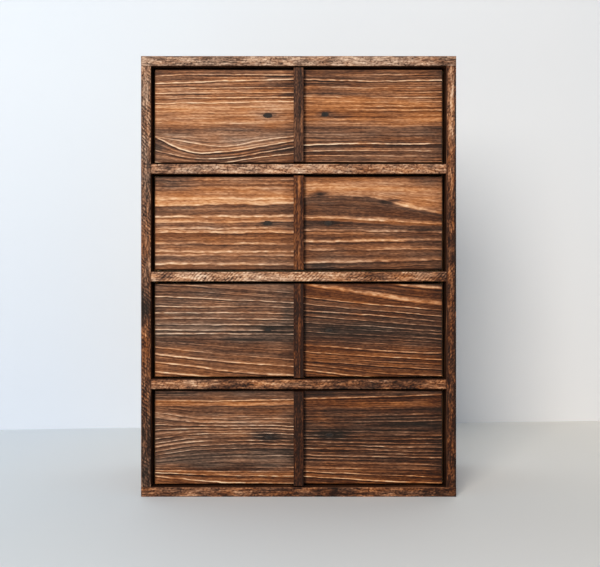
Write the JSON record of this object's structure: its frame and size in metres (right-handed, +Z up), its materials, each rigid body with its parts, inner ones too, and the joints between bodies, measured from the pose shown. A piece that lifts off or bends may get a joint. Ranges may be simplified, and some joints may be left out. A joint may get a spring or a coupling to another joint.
{
  "type": "seed storage cabinet",
  "caption": "Small stained wood cabinet of stacked full-width drawers; a raised centre strip makes each front look like a pair.",
  "frame": {"origin": "centre of the footprint, on the underside of the bottom board, midway between the proud front strips and the rear of the back panel", "axes": "+Z up, -Y the front that the drawers slide out of, +X to the right when facing the front"},
  "size_m": [0.4064, 0.1936, 0.5683],
  "materials": {
    "case_wood": "dark stain, satin",
    "front_wood": "dark stain over open softwood grain, satin",
    "strip_wood": "darkest stain, satin",
    "box_wood": "bare sanded softwood",
    "plywood": "bare sanded plywood",
    "filler": "wood filler darkened by stain, dull",
    "steel": "plain bright steel"
  },
  "bodies": {
    "case": {"top_board": "case_wood", "bottom_board": "case_wood", "side_left": "case_wood", "side_right": "case_wood", "shelf_1": "case_wood", "shelf_2": "case_wood", "shelf_3": "case_wood", "back_panel": "plywood", "shelf_brads": "steel", "top_and_bottom_brads": "steel", "back_brads": "steel"},
    "drawer_1": {"drawer_1_front": "front_wood", "drawer_1_strip": "strip_wood", "drawer_1_box_front": "box_wood", "drawer_1_box_back": "box_wood", "drawer_1_box_left": "box_wood", "drawer_1_box_right": "box_wood", "drawer_1_bottom": "plywood", "drawer_1_brads": "steel", "drawer_1_screws": "steel", "drawer_1_filler": "filler"},
    "drawer_2": {"drawer_2_front": "front_wood", "drawer_2_strip": "strip_wood", "drawer_2_box_front": "box_wood", "drawer_2_box_back": "box_wood", "drawer_2_box_left": "box_wood", "drawer_2_box_right": "box_wood", "drawer_2_bottom": "plywood", "drawer_2_brads": "steel", "drawer_2_screws": "steel", "drawer_2_filler": "filler"},
    "drawer_3": {"drawer_3_front": "front_wood", "drawer_3_strip": "strip_wood", "drawer_3_box_front": "box_wood", "drawer_3_box_back": "box_wood", "drawer_3_box_left": "box_wood", "drawer_3_box_right": "box_wood", "drawer_3_bottom": "plywood", "drawer_3_brads": "steel", "drawer_3_screws": "steel", "drawer_3_filler": "filler"},
    "drawer_4": {"drawer_4_front": "front_wood", "drawer_4_strip": "strip_wood", "drawer_4_box_front": "box_wood", "drawer_4_box_back": "box_wood", "drawer_4_box_left": "box_wood", "drawer_4_box_right": "box_wood", "drawer_4_bottom": "plywood", "drawer_4_brads": "steel", "drawer_4_screws": "steel", "drawer_4_filler": "filler"}
  },
  "joints": [
    {"name": "drawer_1_slide", "type": "slide", "parent": "case", "child": "drawer_1", "axis": [0, -1, 0], "range_m": [0, 0.12]},
    {"name": "drawer_2_slide", "type": "slide", "parent": "case", "child": "drawer_2", "axis": [0, -1, 0], "range_m": [0, 0.12]},
    {"name": "drawer_3_slide", "type": "slide", "parent": "case", "child": "drawer_3", "axis": [0, -1, 0], "range_m": [0, 0.12]},
    {"name": "drawer_4_slide", "type": "slide", "parent": "case", "child": "drawer_4", "axis": [0, -1, 0], "range_m": [0, 0.12]}
  ]
}
